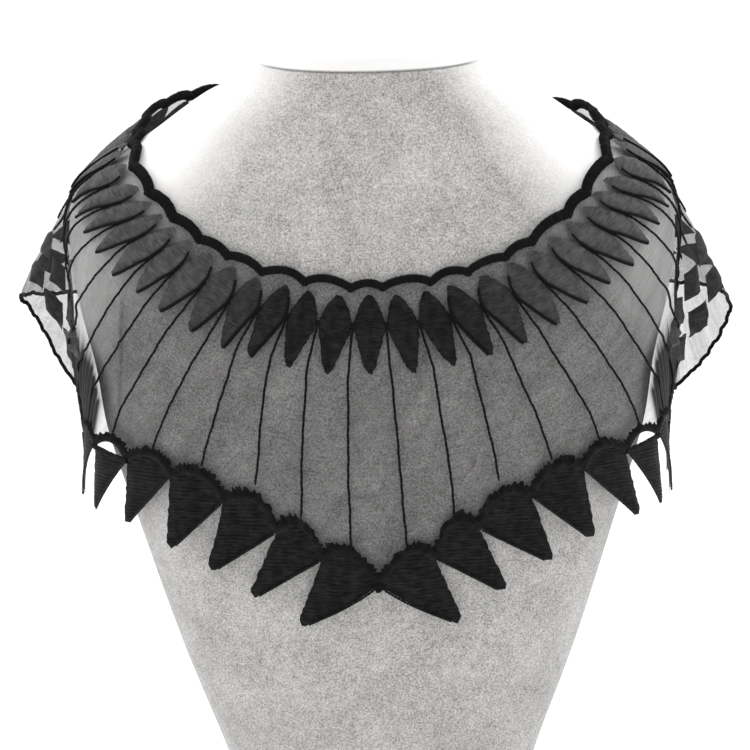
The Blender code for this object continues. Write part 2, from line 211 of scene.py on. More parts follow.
# Gathers that run down the cloth: pitch at their top, pitch at their foot, half width in pitches,
# height in mm, share of the radial length at their top and at their foot
GATHERS = (
    (7.2, 7.5, 0.10, 0.7, 0.40, 0.90),
    (7.9, 8.1, 0.12, 1.1, 0.42, 0.92),
    (8.3, 8.6, 0.10, 1.3, 0.45, 0.92),
    (8.7, 8.9, 0.11, 1.0, 0.40, 0.93),
    (9.1, 9.3, 0.12, 1.4, 0.44, 0.97),
    (9.6, 9.7, 0.10, 1.0, 0.50, 1.00),
    (10.2, 10.4, 0.13, 1.2, 0.66, 1.02),
    (11.0, 10.8, 0.12, 0.8, 0.74, 1.02),
    (11.5, 11.6, 0.16, 1.2, 0.70, 1.02),
    (12.3, 12.1, 0.12, 0.8, 0.76, 1.02),
    (12.9, 13.0, 0.18, 1.3, 0.72, 1.02),
    (13.8, 13.6, 0.13, 0.9, 0.78, 1.02),
    (14.6, 14.8, 0.20, 1.4, 0.70, 1.02),
    (15.9, 15.7, 0.16, 0.9, 0.78, 1.02),
    (17.1, 17.2, 0.22, 1.5, 0.66, 1.02),
    (18.8, 18.6, 0.18, 1.0, 0.76, 1.02),
    (20.3, 20.5, 0.22, 1.3, 0.70, 1.02),
    (22.1, 22.0, 0.20, 1.1, 0.74, 1.02),
    (-6.2, -5.5, 0.032, 1.0, 0.30, 0.80),
    (-7.5, -7.3, 0.11, 0.8, 0.42, 0.90),
    (-8.1, -8.2, 0.10, 1.2, 0.40, 0.92),
    (-8.5, -8.6, 0.11, 1.1, 0.46, 0.93),
    (-8.9, -9.1, 0.12, 1.4, 0.42, 0.96),
    (-9.5, -9.6, 0.11, 1.1, 0.50, 1.00),
    (-10.0, -10.3, 0.14, 1.2, 0.68, 1.02),
    (-10.9, -11.0, 0.12, 0.9, 0.72, 1.02),
    (-11.8, -11.6, 0.17, 1.3, 0.70, 1.02),
    (-12.5, -12.7, 0.12, 0.8, 0.78, 1.02),
    (-13.3, -13.4, 0.17, 1.2, 0.72, 1.02),
    (-14.4, -14.2, 0.15, 1.0, 0.76, 1.02),
    (-15.5, -15.8, 0.21, 1.5, 0.68, 1.02),
    (-17.0, -16.8, 0.17, 1.0, 0.78, 1.02),
    (-18.4, -18.5, 0.20, 1.3, 0.70, 1.02),
    (-20.0, -19.8, 0.18, 1.1, 0.76, 1.02),
    (-21.5, -21.6, 0.22, 1.4, 0.68, 1.02),
)

# Leaves that are a little longer than the rest, and by how much
LONG_LEAVES = (8, 11)
LONG_LEAF = 1.08
# Leaves with a cord along their lower edge
EDGED_LEAVES = (3, 14)

# Fine pleats where the cloth hangs below the side of the shoulder
PLEATS_PER_PITCH = 5.0
PLEAT_DEPTH = 1.2
PLEAT_COVER = 0.95

# Velvet of the bust: a painted shade line round the neck below its rim, and a painted highlight
# that turns the velvet pale above the shoulders, both in mm
RIM_TILT = 0.139
RIM_DROP = 2.0
RIM_SHADE_REACH = (43.0, 50.0)
SHOULDER_HIGHLIGHT_SLOPE = 0.72
SHOULDER_HIGHLIGHT_RANGE = (287.0, 322.0)

thread_jitter = np.random.default_rng(7)


def spline(rows, x):
    """Smooth curve through rows of (place, value), with value a number or a vector."""
    last = len(rows) - 1
    i = 0
    while i < last - 1 and x > rows[i + 1][0]:
        i += 1

    def slope(j):
        before = rows[max(j - 1, 0)]
        after = rows[min(j + 1, last)]
        return (after[1] - before[1]) * (1.0 / (after[0] - before[0]))

    x0, p0 = rows[i]
    x1, p1 = rows[i + 1]
    step = x1 - x0
    t = (x - x0) / step
    a = 2 * t ** 3 - 3 * t ** 2 + 1
    b = t ** 3 - 2 * t ** 2 + t
    c = -2 * t ** 3 + 3 * t ** 2
    d = t ** 3 - t ** 2
    return p0 * a + slope(i) * step * b + p1 * c + slope(i + 1) * step * d


BUST_WIDTH = [(row[0], row[1]) for row in BUST_LEVELS]
BUST_FRONT = [(row[0], row[2]) for row in BUST_LEVELS]
BUST_BACK = [(row[0], row[3]) for row in BUST_LEVELS]


def part_shift():
    """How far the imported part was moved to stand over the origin."""
    low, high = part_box("display_bust")
    levels = np.linspace(0, BUST_TOP, 400)
    front = max(spline(BUST_FRONT, z) for z in levels)
    back = max(spline(BUST_BACK, z) for z in levels)
    return np.array(((low[0] + high[0]) / 2 / MM, (low[1] + high[1]) / 2 / MM - (back - front) / 2, 0.0))


SHIFT = part_shift()


def bust_excess(point):
    """Share by which a point lies outside the bust at its own height."""
    z = min(max(point.z, 0.0), BUST_TOP)
    width = spline(BUST_WIDTH, z)
    depth = spline(BUST_FRONT if point.y < 0 else BUST_BACK, z)
    across = (abs(point.x) / width) ** BUST_ROUNDNESS
    along = (abs(point.y) / depth) ** BUST_ROUNDNESS
    return (across + along) ** (1.0 / BUST_ROUNDNESS) - 1.0


def clear_of_bust(point, room):
    """Moves a point straight out from the bust until it has the room."""
    probe = 0.5
    axes = (Vector((probe, 0, 0)), Vector((0, probe, 0)), Vector((0, 0, probe)))
    place = point.copy()
    for _ in range(6):
        excess = bust_excess(place)
        if excess > 0.25:
            break
        slope = Vector([(bust_excess(place + a) - bust_excess(place - a)) / (2 * probe) for a in axes])
        steepness = max(slope.length, 1e-6)
        distance = excess / steepness
        if distance >= room:
            break
        place += slope / steepness * (room - distance)
    return place


def mirrored_rails():
    """The four rails of the table, carried past both ends by mirroring."""
    rails = []
    for rail in range(1, 5):
        rows = [(row[0], Vector(row[rail])) for row in SECTIONS]
        flip = [Vector((-p.x, p.y, p.z)) for _, p in rows]
        before = [(-rows[i][0], flip[i]) for i in (3, 2, 1)]
        after = [(RING - rows[i][0], flip[i]) for i in (-2, -3)]
        rails.append(before + rows + after)
    return rails


RAILS = mirrored_rails()
COLUMN_STEPS = 24


def column(turn):
    """Points down one radial section, with the length run so far at each."""
    side = -1 if turn < 0 else 1
    sway = WING_SWAY * side * math.exp(-((abs(turn) - WING_PITCH) / WING_SPREAD) ** 2)
    sink = BACK_SINK * max(side, 0) * math.exp(-((abs(turn) - SINK_PITCH) / SINK_SPREAD) ** 2)
    knots = [(share, spline(rail, abs(turn)) + sway * part + sink * (1 - share))
             for share, part, rail in zip(RAIL_SHARE, SWAY_SHARE, RAILS)]
    points = []
    for step in range(COLUMN_STEPS + 1):
        place = clear_of_bust(spline(knots, step / COLUMN_STEPS), BUST_ROOM)
        points.append(Vector((place.x * side, place.y, place.z)))
    run = [0.0]
    for a, b in zip(points, points[1:]):
        run.append(run[-1] + (b - a).length)
    return points, run


# The surface, worked out once: so many sections a pitch, and so many mm between rows
PER_PITCH = 12
ROW_STEP = 2.0
ROW_FIRST = -8.0
ROW_COUNT = 96


def surface_grid():
    """Points of every section row by row, and the radial length of each section."""
    grid = []
    reaches = []
    for i in range(RING * PER_PITCH + 1):
        points, run = column(-HALF_RING + i / PER_PITCH)
        line = []
        j = 0
        for row in range(ROW_COUNT):
            down = ROW_FIRST + row * ROW_STEP
            while j < COLUMN_STEPS - 1 and down > run[j + 1]:
                j += 1
            t = (down - run[j]) / (run[j + 1] - run[j])
            place = points[j] + (points[j + 1] - points[j]) * t
            if down > run[-1]:
                place = clear_of_bust(place, BUST_ROOM)
            line.append(place)
        grid.append(line)
        reaches.append(run[-1])
    return np.array(grid), np.array(reaches)


GRID, REACHES = surface_grid()


def sections_at(pitch):
    """Number of the section before each pitch, and the share of the way to the next."""
    place = np.mod(pitch + HALF_RING, RING) * PER_PITCH
    before = np.minimum(place.astype(int), RING * PER_PITCH - 1)
    return before, place - before


def length(pitch):
    """Radial length of the collar at each pitch, without the leaf-size trims."""
    before, share = sections_at(np.asarray(pitch, float))
    return REACHES[before] * (1 - share) + REACHES[before + 1] * share


def ground(pitch, down):
    """Points of the collar's inner surface, down mm below the neck edge."""
    pitch, down = np.broadcast_arrays(np.asarray(pitch, float), np.asarray(down, float))
    before, share = sections_at(pitch)
    place = np.clip((down - ROW_FIRST) / ROW_STEP, 0, ROW_COUNT - 1.001)
    row = place.astype(int)
    a = share[..., None]
    b = (place - row)[..., None]
    near = GRID[before, row] * (1 - b) + GRID[before, row + 1] * b
    far = GRID[before + 1, row] * (1 - b) + GRID[before + 1, row + 1] * b
    return near * (1 - a) + far * a


def unit(vectors):
    """Vectors of length 1 in the same directions."""
    return vectors / np.maximum(np.linalg.norm(vectors, axis=-1, keepdims=True), 1e-9)


def outward(pitch, down):
    """Unit normals of the collar, away from the bust."""
    turn = 0.12
    drop = 2.0
    across = ground(pitch + turn, down) - ground(pitch - turn, down)
    along = ground(pitch, down + drop) - ground(pitch, down - drop)
    return unit(np.cross(along, across))


def fade(low, high, x):
    """Soft step from 0 at low to 1 at high."""
    t = np.clip((x - low) / (high - low), 0, 1)
    return t * t * (3 - 2 * t)


def relief(pitch, down):
    """How far the gathers and the fine pleats of the sides stand out of the cloth."""
    turn = np.mod(pitch + HALF_RING, RING) - HALF_RING
    share = down / length(pitch)
    height = np.zeros(np.broadcast(turn, share).shape)
    for top, foot, half, rise, start, end in GATHERS:
        middle = top + (foot - top) * (share - start) / (end - start)
        window = fade(start, start + 0.12, share) * (1 - fade(end - 0.05, end + 0.02, share))
        height += rise * window * np.exp(-((turn - middle) / half) ** 2)
    wave = 0.5 + 0.5 * np.sin(2 * math.pi * (turn * PLEATS_PER_PITCH + 0.3 * np.sin(share * 9 + turn * 2)))
    return height + PLEAT_DEPTH * wave * bunching(turn, share)


def lifted(pitch, down, room):
    """Points room mm off the collar's inner surface, gathers included."""
    pitch, down = np.broadcast_arrays(np.asarray(pitch, float), np.asarray(down, float))
    room = np.asarray(room, float) + relief(pitch, down)
    return ground(pitch, down) + outward(pitch, down) * room[..., None]


def hanging(ends, side):
    """Places on the hem and straight below it, square to the line between two of its pitches."""
    hem = [ground(end, length(end)) for end in ends]
    middle = np.array((ends[0] + ends[1]) / 2)
    fall = unit(np.cross(hem[1] - hem[0], outward(middle, length(middle) - 3.0))) * side

    def place(pitch, drop, room):
        pitch, drop = np.broadcast_arrays(np.asarray(pitch, float), np.asarray(drop, float))
        reach = length(pitch)
        spot = ground(pitch, reach + np.minimum(drop, 0.0)) + fall * np.maximum(drop, 0.0)[..., None]
        return spot + outward(pitch, reach - 3.0) * (np.zeros(drop.shape) + room)[..., None]

    return place


def arch_height(pitch):
    """Height of the hem's arches over the line of their feet, lower at the sides."""
    share = np.clip((np.abs(pitch) - 1.5) / 2.0, 0, 1)
    rise = ARCH_RISE + (ARCH_RISE_SIDE - ARCH_RISE) * share
    return rise * np.sin(math.pi * (pitch - np.floor(pitch))) ** 0.8


ROUND_BACK = RING + NECK_CUSPS[0] - NECK_CUSPS[-1]
BACK_CUSPS = NECK_CUSPS[-1] + np.arange(1, BACK_SCALLOPS + 1) * ROUND_BACK / BACK_SCALLOPS
CUSPS = np.concatenate([NECK_CUSPS, BACK_CUSPS])


def neck_scallop(pitch):
    """Height of the neck edge's scallops over the line of their cusps."""
    turn = np.mod(pitch - CUSPS[0], RING) + CUSPS[0]
    after = np.clip(np.searchsorted(CUSPS, turn), 1, len(CUSPS) - 1)
    span = CUSPS[after] - CUSPS[after - 1]
    share = (turn - CUSPS[after - 1]) / span
    return NECK_SCALLOP * span * np.maximum(np.sin(math.pi * share), 0.0) ** 0.7


def leaf_pitch(number, share):
    """Pitch of a leaf, or of a place between two, at a share of the radial length."""
    turn = np.mod(np.asarray(number, float) + HALF_LEAVES, LEAVES) - HALF_LEAVES
    numbers, necks, tips = np.array(LEAF_PLACES).T
    neck = np.interp(turn, numbers, necks)
    tip = np.interp(turn, numbers, tips)
    beyond = np.maximum(np.abs(turn) - FRONT_END, 0) * (HALF_RING - FRONT_END) / (HALF_LEAVES - FRONT_END)
    hem = np.sign(turn) * (np.minimum(np.abs(turn), FRONT_END) + beyond)
    pitch = neck + (tip - neck) * np.minimum(share / TIP_SHARE, 1.0)
    return pitch + (hem - pitch) * fade(TURN_SHARE, HEM_SHARE, share)


def bunching(turn, share):
    """How closely the cloth is pleated where it fans out below the side of the shoulder."""
    aside = np.abs(turn)
    narrowing = 4.0 * np.maximum(0.8 - share, 0)
    within = fade(5.95, 6.25, aside - narrowing) * (1 - fade(9.0, 9.6, aside + narrowing))
    return within * fade(0.56, 0.74, share)


class Value:
    """A socket of a node tree that takes part in sums."""

    def __init__(self, shading, socket):
        self.shading = shading
        self.socket = socket

    def math(self, operation, *others):
        inputs = dict(enumerate((self, *others)))
        return self.shading.node("ShaderNodeMath", {"operation": operation}, inputs)

    def __add__(self, other):
        return self.math("ADD", other)

    __radd__ = __add__

    def __mul__(self, other):
        return self.math("MULTIPLY", other)

    __rmul__ = __mul__

    def size(self):
        return self.math("ABSOLUTE")

    def __sub__(self, other):
        return self.math("SUBTRACT", other)

    def __rsub__(self, other):
        return self.shading.node("ShaderNodeMath", {"operation": "SUBTRACT"}, {0: other, 1: self})


class Shading:
    """A node tree and its nodes."""

    def __init__(self, tree):
        self.tree = tree

    def node(self, kind, settings=None, sockets=None, output=0):
        made = self.tree.nodes.new(kind)
        for name, value in (settings or {}).items():
            setattr(made, name, value)
        for name, value in (sockets or {}).items():
            self.feed(made.inputs[name], value)
        return Value(self, made.outputs[output])

    def feed(self, socket, value):
        if isinstance(value, Value):
            self.tree.links.new(value.socket, socket)
        else:
            socket.default_value = value

    def span(self, value, low, high, bottom=0.0, top=1.0):
        """Value spread so that low becomes bottom and high becomes top."""
        return self.node("ShaderNodeMapRange", {"clamp": True},
                         {0: value, 1: low, 2: high, 3: bottom, 4: top})


class Finish(Shading):
    """A material with its Principled shader."""

    def __init__(self, name, **constants):
        self.material = bpy.data.materials.new(name)
        self.material.use_nodes = True
        super().__init__(self.material.node_tree)
        self.shader = self.tree.nodes["Principled BSDF"]
        for socket, value in constants.items():
            label = socket.replace("_", " ").title().replace("Ior", "IOR")
            self.shader.inputs[label].default_value = value

    def show(self, socket, value):
        self.feed(self.shader.inputs[socket], value)

    def mix(self, share, first, second):
        """Colour between two colours."""
        return self.node("ShaderNodeMix", {"data_type": "RGBA"},
                         {"Factor": share, 6: first, 7: second}, output=2)

    def place(self, name, scale):
        """Coordinates on the piece, object or a named map, stretched by scale."""
        if name == "object":
            source = self.node("ShaderNodeTexCoord", output=3)
        else:
            source = self.node("ShaderNodeUVMap", {"uv_map": name})
        return self.node("ShaderNodeVectorMath", {"operation": "MULTIPLY"}, {0: source, 1: scale})

    def noise(self, where, scale, detail=2.0, roughness=0.5):
        return self.node("ShaderNodeTexNoise", None,
                         {"Vector": where, "Scale": scale, "Detail": detail, "Roughness": roughness})

    def bump(self, height, strength, distance):
        return self.node("ShaderNodeBump", None,
                         {"Height": height, "Strength": strength, "Distance": distance})


def grey(level, warmth=0.0):
    """Colour of one level, a little redder with more warmth."""
    return (level * (1 + warmth), level, level * (1 - warmth), 1.0)


def velvet_finish():
    """Flocked off-white velvet: dark specks and brushed clouds, with painted highlights that turn the
    upper sides, the neck above its rim and the top pale, and a painted shade line below the rim.
    """
    finish = Finish("flocked velvet", roughness=0.95, specular_ior_level=0.1, sheen_weight=0.35,
                    sheen_roughness=0.45)
    where = finish.place("object", (1 / MM, 1 / MM, 1 / MM))
    specks = finish.span(finish.noise(where, 1.25, 4.0, 0.75), 0.38, 0.60)
    clouds = finish.span(finish.noise(where, 0.03, 3.0, 0.6), 0.35, 0.68)
    nap = finish.span(finish.noise(where, 0.22, 2.0, 0.5), 0.3, 0.7)
    tone = specks * 0.66 + clouds * 0.18 + nap * 0.16
    across, depth, height = [finish.node("ShaderNodeSeparateXYZ", None, {0: where}, output=axis)
                             for axis in range(3)]
    aside = (across - float(SHIFT[0])).size()
    # Painted highlight: the velvet turns pale toward the upper sides of the neck and shoulders, where the
    # light falls strongest.
    shoulder_highlight = finish.span(aside + height * SHOULDER_HIGHLIGHT_SLOPE, *SHOULDER_HIGHLIGHT_RANGE)
    # Painted highlight: above this tilted line round the neck, and on the top, the velvet is mixed to near
    # white.
    rim = height - (depth - float(SHIFT[1])) * RIM_TILT - (BUST_TOP - RIM_DROP)
    cap = finish.span(height, BUST_TOP - 2.8, BUST_TOP - 1.8)
    pale = finish.span(shoulder_highlight + finish.span(rim, 0.0, 1.2) + cap, 0.0, 1.0)
    cloth = finish.mix(tone, grey(0.15, 0.02), grey(0.71, 0.02))
    cloth_with_painted_highlights = finish.mix(pale, cloth, grey(0.93, 0.01))
    # Painted shade: a dark line just below the neck's rim, fading out toward the sides.
    near_rim = (1.0 - finish.span(rim.size(), 0.15, 0.8)) * (1.0 - cap)
    line = near_rim * (1.0 - finish.span(aside, *RIM_SHADE_REACH)) * 0.7
    finish.show("Base Color", finish.mix(line, cloth_with_painted_highlights, grey(0.10)))
    finish.show("Normal", finish.bump(specks, 0.35, 0.0004))
    return finish.material


def organza_finish():
    """Sheer plain weave: fine threads both ways, a little denser on the gathers."""
    finish = Finish("black organza", roughness=0.6, specular_ior_level=0.15)
    along = finish.noise(finish.place("weave", (1.25, 0.13, 1.0)), 1.0, 3.0, 0.6)
    across = finish.noise(finish.place("weave", (0.13, 1.25, 1.0)), 1.0, 3.0, 0.6)
    streaks = finish.noise(finish.place("weave", (0.09, 0.012, 1.0)), 1.0, 2.0, 0.5)
    threads = finish.span(along + across, 0.75, 1.25)
    slope = finish.node("ShaderNodeAttribute", {"attribute_name": "slope"}, output=2)
    cover = threads * 0.20 + finish.span(streaks, 0.35, 0.65) * 0.10 + 0.26
    finish.show("Alpha", cover + slope * (0.96 - cover))
    finish.show("Base Color", grey(0.022))
    finish.show("Normal", finish.bump(threads, 0.2, 0.0001))
    return finish.material


def satin_finish(name, dark, light, roughness):
    """Rows of satin thread: fine strands along each stitch, paler where a painted sheen is mixed in by the
    piece's sheen share.
    """
    finish = Finish(name, specular_ior_level=0.07, sheen_weight=0.04, sheen_roughness=0.4)
    strands = finish.noise(finish.place("thread", (0.16, 3.4, 1.0)), 1.0, 3.0, 0.7)
    patches = finish.noise(finish.place("object", (1 / MM, 1 / MM, 1 / MM)), 0.30, 2.0)
    pale = finish.span(strands, 0.42, 0.74) * 0.7 + finish.span(patches, 0.42, 0.72) * 0.3
    # Painted sheen: the per-point share kept in the slope attribute mixes in a paler satin colour,
    # standing in for light the satin catches.
    slack_and_sheen = finish.node("ShaderNodeAttribute", {"attribute_name": "slope"}, output=2)
    satin_without_sheen = finish.mix(pale, grey(dark), grey(light))
    painted_sheen = finish.mix(pale, grey(0.04), grey(0.17))
    finish.show("Base Color", finish.mix(slack_and_sheen, satin_without_sheen, painted_sheen))
    finish.show("Roughness", roughness + strands * 0.2)
    finish.show("Normal", finish.bump(strands, 0.5, 0.00025))
    return finish.material


def cord_finish():
    """Black cord with its thread wound close round it."""
    finish = Finish("wound cord", specular_ior_level=0.06)
    wraps = finish.noise(finish.place("thread", (0.3, 2.2, 1.0)), 1.0, 3.0, 0.7)
    finish.show("Base Color", finish.mix(finish.span(wraps, 0.4, 0.75), grey(0.003), grey(0.012)))
    finish.show("Roughness", 0.45 + wraps * 0.25)
    finish.show("Normal", finish.bump(wraps, 0.6, 0.0003))
    return finish.material


def floor_finish():
    """Pale paper, hardly mottled."""
    finish = Finish("pale paper", roughness=0.9, specular_ior_level=0.1)
    where = finish.place("object", (40.0, 40.0, 40.0))
    finish.show("Base Color", finish.mix(finish.noise(where, 1.0), grey(0.90), grey(0.93)))
    return finish.material


def make_piece(name, points, faces, material, maps=None, slope=None):
    """Makes a piece in metres that rides on the part's body."""
    points = np.asarray(points, float).reshape(-1, 3)
    mesh = bpy.data.meshes.new(name)
    mesh.from_pydata(((points + SHIFT) * MM).tolist(), [], [list(face) for face in faces])
    mesh.shade_smooth()
    if maps is not None:
        corners = np.empty(len(mesh.loops), int)
        mesh.loops.foreach_get("vertex_index", corners)
        for label, values in maps.items():
            layer = mesh.uv_layers.new(name=label)
            layer.data.foreach_set("uv", np.asarray(values, float).reshape(-1, 2)[corners].ravel())
    if slope is not None:
        layer = mesh.attributes.new("slope", "FLOAT", "POINT")
        layer.data.foreach_set("value", np.asarray(slope, float).ravel())
    mesh.materials.append(material)
    piece = bpy.data.objects.new(name, mesh)
    bpy.context.scene.collection.objects.link(piece)
    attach(piece, "root")
    return piece


def grid_faces(rows, columns, first=0, closed=False):
    """Quads over rows of columns points. A closed grid joins its last column to its first."""
    faces = []
    for row in range(rows - 1):
        for col in range(columns if closed else columns - 1):
            after = (col + 1) % columns
            a = first + row * columns
            b = a + columns
            faces.append((a + col, b + col, b + after, a + after))
    return faces


class Stitching:
    """Gathers the rows of thread of one piece into a single mesh."""

    def __init__(self):
        self.points = []
        self.maps = []
        self.faces = []
        self.painted_sheen = []
        self.count = 0
        # Share of painted sheen given to the points added next, kept in the slope attribute.
        self.painted_sheen_share = 0.0

    def add(self, points, maps, faces):
        """Adds points with their map places, and faces counted from the first of them."""
        points = np.asarray(points).reshape(-1, 3)
        self.points.append(points)
        self.maps.append(np.asarray(maps, float).reshape(-1, 2))
        self.painted_sheen.append(np.full(len(points), self.painted_sheen_share))
        self.faces += [tuple(corner + self.count for corner in face) for face in faces]
        self.count += len(points)

    def satin(self, place, starts, ends, low, crown, groove=0.35, segments=5, feather=0.0):
        """Rows of satin from starts to ends, both (row, 2), over a soft crown."""
        rows = len(starts)
        lines = []
        for side, (edge, other) in enumerate(((starts, ends), (ends, starts))):
            middle = (edge[1:] + edge[:-1]) / 2
            before = np.vstack([edge[:1] * 1.5 - edge[1:2] * 0.5, middle])
            after = np.vstack([middle, edge[-1:] * 1.5 - edge[-2:-1] * 0.5])
            out = (edge - other) / np.maximum(np.linalg.norm(edge - other, axis=1, keepdims=True), 1e-6)
            jitter = thread_jitter.uniform(0.0, 1.0, (rows, 1)) * feather * side
            lines.append(np.stack([before, edge + out * jitter, after], axis=1))
        share = np.linspace(0, 1, segments + 1)[None, None, :, None]
        flat = lines[0][:, :, None, :] * (1 - share) + lines[1][:, :, None, :] * share
        dome = np.sqrt(np.clip(1 - (2 * share[..., 0] - 1) ** 2, 0, 1))
        ends_low = np.clip(1 - np.abs(np.linspace(-1, 1, rows)) ** 6, 0.15, 1)[:, None, None]
        ridge = np.array([-groove, 0.0, -groove])[None, :, None]
        slack_and_sheen = thread_jitter.uniform(-0.06, 0.06, (rows, 1, 1))
        height = low + dome * (crown * ends_low + ridge + slack_and_sheen)
        points = place(flat[..., 0], flat[..., 1], np.maximum(height, low))
        along = np.linspace(0, 1, segments + 1)[None, None, :] * np.linalg.norm(
            points[:, 1, -1] - points[:, 1, 0], axis=-1)[:, None, None]
        number = (np.arange(rows)[:, None, None] + np.array([0.0, 0.5, 1.0])[None, :, None])
        shift = thread_jitter.uniform(0, 40, (rows, 1, 1))
        maps = np.stack([along + shift + np.zeros(number.shape), number + np.zeros(along.shape)], axis=-1)
        faces = []
        for row in range(rows):
            faces += grid_faces(3, segments + 1, row * 3 * (segments + 1))
        self.add(points, maps, faces)
        under = lines[0][:, 1], (lines[0][:, 1] + lines[1][:, 1]) / 2, lines[1][:, 1]
        under = np.stack(under, axis=1)
        floor = place(under[..., 0], under[..., 1], np.full(under.shape[:2], low))
        self.add(floor, np.zeros(floor.shape[:2] + (2,)), grid_faces(rows, 3))

    def strand(self, centres, outs, radius, sides=6, wrap=0.0, flatten=1.0):
        """Round thread along centres. outs are unit vectors away from the cloth."""
        centres = np.asarray(centres)
        count = len(centres)
        along = unit(np.gradient(centres, axis=0))
        across = unit(np.cross(along, outs))
        angle = np.linspace(0, 2 * math.pi, sides, endpoint=False)
        radius = np.broadcast_to(radius, (count,)).astype(float).copy()
        if wrap:
            turns_in = 1 - wrap * (np.arange(count) % 3 == 0)
            radius *= turns_in + thread_jitter.uniform(-wrap, wrap, count) * 0.5
        ring = (across[:, None] * np.cos(angle)[None, :, None]
                + outs[:, None] * np.sin(angle)[None, :, None] * flatten)
        points = centres[:, None] + ring * radius[:, None, None]
        run = np.concatenate([[0], np.cumsum(np.linalg.norm(np.diff(centres, axis=0), axis=1))])
        maps = np.stack(np.broadcast_arrays(angle[None, :] * 0.5, run[:, None]), axis=-1)
        faces = grid_faces(count, sides, closed=True)
        faces.append(tuple(range(sides)))
        faces.append(tuple(reversed(range((count - 1) * sides, count * sides))))
        self.add(points, maps, faces)

    def piece(self, name, material, slot):
        return make_piece(name, np.vstack(self.points), self.faces, material,
                          {"thread": np.vstack(self.maps)}, np.concatenate(self.painted_sheen))


def bust(finish):
    """Velvet form with a soft rim round the top of its neck and at its foot."""
    sides = 176
    rings = 150
    top_round = 3.5
    foot_round = 1.5
    rows = []
    for ring in range(rings + 1):
        z = BUST_TOP * (1 - (1 - ring / rings) ** 1.3)
        top = max(z - (BUST_TOP - top_round), 0) / top_round
        foot = max(foot_round - z, 0) / foot_round
        inset = top_round * (1 - math.sqrt(max(1 - top * top, 0)))
        inset += foot_round * (1 - math.sqrt(1 - foot * foot))
        angle = np.linspace(0, 2 * math.pi, sides, endpoint=False)
        width = spline(BUST_WIDTH, z) - inset
        depth = np.where(np.sin(angle) < 0, spline(BUST_FRONT, z), spline(BUST_BACK, z)) - inset
        x = np.sign(np.cos(angle)) * np.abs(np.cos(angle)) ** (2 / BUST_ROUNDNESS) * width
        y = np.sign(np.sin(angle)) * np.abs(np.sin(angle)) ** (2 / BUST_ROUNDNESS) * depth
        rows.append(np.stack([x, y, np.full(sides, z)], axis=1))
    cap = []
    for share in (0.93, 0.8, 0.6, 0.35, 0.12):
        ring = rows[-1] * (share, share, 1.0)
        ring[:, 2] = BUST_TOP - 1.6 * math.sin(math.pi * min(1 - share, 0.5))
        cap.append(ring)
    rows += cap
    points = np.vstack(rows)
    faces = grid_faces(len(rows), sides, closed=True)
    faces.append(tuple(range(sides)))
    last = (len(rows) - 1) * sides
    faces.append(tuple(range(last + sides - 1, last - 1, -1)))
    piece = make_piece("velvet_bust", points, faces, finish)
    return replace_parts(piece, "display_bust")


def cloth(name, node, start, end, scalloped, finish):
    """Sheet of organza between two pitches, from the neck cord to the hem."""
    per_pitch = 44 if scalloped else 24
    rows = 72
    turns = np.linspace(start, end, round((end - start) * per_pitch) + 1)
    top = -neck_scallop(turns) - 1.0
    bottom = length(turns) - arch_height(turns) if scalloped else length(turns) + SEAM_GAP
    share = np.linspace(0, 1, rows + 1)
    down = top[:, None] + (bottom - top)[:, None] * share[None, :]
    pitch = np.broadcast_to(turns[:, None], down.shape)
    points = lifted(pitch, down, CLOTH_ROOM)
    tilt = (relief(pitch + 0.015, down) - relief(pitch - 0.015, down)) / (0.03 * 14)
    turn = np.mod(pitch + HALF_RING, RING) - HALF_RING
    slope = np.clip(np.abs(tilt) * 0.3, 0, 0.4) + PLEAT_COVER * bunching(turn, down / length(pitch))
    step = np.linalg.norm(np.diff(points, axis=0), axis=-1)
    across = np.concatenate([np.zeros((1, rows + 1)), np.cumsum(step, axis=0)])
    maps = np.stack([across, down], axis=-1)
    piece = make_piece(name, points, grid_faces(len(turns), rows + 1), finish,
                       {"weave": maps}, slope)
    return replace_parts(piece, node)


def neck_edge(finish):
    """Scalloped cord, wound with thread, round the whole neck edge."""
    count = RING * 66
    turns = 0.5 + np.arange(count + 1) * RING / count
    down = -neck_scallop(turns) - SEAM_GAP - NECK_CORD / 2 + 0.5
    outs = outward(turns, np.full(turns.shape, 1.0))
    fall = unit(ground(turns, 3.0) - ground(turns, 0.0))
    centres = ground(turns, 0.0) + fall * down[:, None] + outs * 0.9
    work = Stitching()
    stout = 0.95 + 0.3 * fade(3.0, 8.0, np.abs(np.mod(turns + HALF_RING, RING) - HALF_RING))
    centres = centres + fall * ((stout - 0.95) * NECK_CORD / 2)[:, None]
    work.strand(centres, outs, NECK_CORD / 2 * stout, sides=9, wrap=0.16, flatten=0.7)
    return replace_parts(work.piece("neck_cord_wound", finish, "cord"), "neck_cord")


def plain_hem(finish):
    """Fine cord along the hem of the wings and back, drawn into small waves."""
    count = (RING - 2 * FRONT_END) * 70
    turns = np.linspace(FRONT_END, RING - FRONT_END, count + 1)
    reach = length(turns)
    outs = outward(turns, reach - 2.0)
    fall = unit(ground(turns, reach) - ground(turns, reach - 3.0))
    wave = 0.35 * np.sin(2 * math.pi * turns * 1.5) + 0.2 * np.sin(2 * math.pi * turns * 3.7)
    centres = (ground(turns, reach) + fall * (SEAM_GAP + EDGE_CORD / 2 + wave)[:, None]
               + outs * (0.6 + relief(turns, reach))[:, None])
    work = Stitching()
    work.strand(centres, outs, EDGE_CORD / 2, sides=7, wrap=0.12)
    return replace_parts(work.piece("hem_cord_wound", finish, "cord"), "edge_cord")


